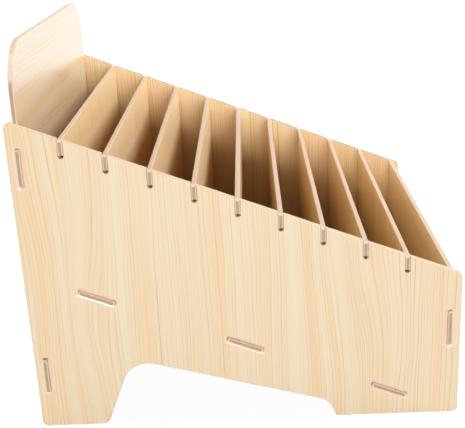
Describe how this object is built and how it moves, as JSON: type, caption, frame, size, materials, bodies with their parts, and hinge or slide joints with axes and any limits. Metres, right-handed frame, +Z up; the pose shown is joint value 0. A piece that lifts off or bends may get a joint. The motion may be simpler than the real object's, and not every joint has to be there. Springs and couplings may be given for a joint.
{
  "type": "mail sorter",
  "caption": "Desk mail sorter of thin pine-look board: sloping sides on feet, tall rounded back, low front, sloping shelf and a row of lift-out dividers.",
  "frame": {"origin": "middle of the footprint, on the surface that the sorter stands on", "axes": "+X towards the low front, +Y towards the right side panel, +Z up"},
  "size_m": [0.28, 0.2532, 0.257],
  "materials": {
    "pine_board": "satin printed pine film",
    "divider_board": "satin printed pine film, pale cut edges"
  },
  "bodies": {
    "root": {"side_panel_left": "pine_board", "side_panel_right": "pine_board", "back_panel": "pine_board", "front_panel": "pine_board", "shelf": "pine_board"},
    "divider_1": {"divider_1": "divider_board"},
    "divider_2": {"divider_2": "divider_board"},
    "divider_3": {"divider_3": "divider_board"},
    "divider_4": {"divider_4": "divider_board"},
    "divider_5": {"divider_5": "divider_board"},
    "divider_6": {"divider_6": "divider_board"},
    "divider_7": {"divider_7": "divider_board"},
    "divider_8": {"divider_8": "divider_board"},
    "divider_9": {"divider_9": "divider_board"}
  },
  "joints": [
    {"name": "divider_1_lift", "type": "slide", "parent": "root", "child": "divider_1", "axis": [0, 0, 1], "range_m": [0, 0.1]},
    {"name": "divider_2_lift", "type": "slide", "parent": "root", "child": "divider_2", "axis": [0, 0, 1], "range_m": [0, 0.1]},
    {"name": "divider_3_lift", "type": "slide", "parent": "root", "child": "divider_3", "axis": [0, 0, 1], "range_m": [0, 0.1]},
    {"name": "divider_4_lift", "type": "slide", "parent": "root", "child": "divider_4", "axis": [0, 0, 1], "range_m": [0, 0.1]},
    {"name": "divider_5_lift", "type": "slide", "parent": "root", "child": "divider_5", "axis": [0, 0, 1], "range_m": [0, 0.1]},
    {"name": "divider_6_lift", "type": "slide", "parent": "root", "child": "divider_6", "axis": [0, 0, 1], "range_m": [0, 0.1]},
    {"name": "divider_7_lift", "type": "slide", "parent": "root", "child": "divider_7", "axis": [0, 0, 1], "range_m": [0, 0.1]},
    {"name": "divider_8_lift", "type": "slide", "parent": "root", "child": "divider_8", "axis": [0, 0, 1], "range_m": [0, 0.1]},
    {"name": "divider_9_lift", "type": "slide", "parent": "root", "child": "divider_9", "axis": [0, 0, 1], "range_m": [0, 0.1]}
  ]
}
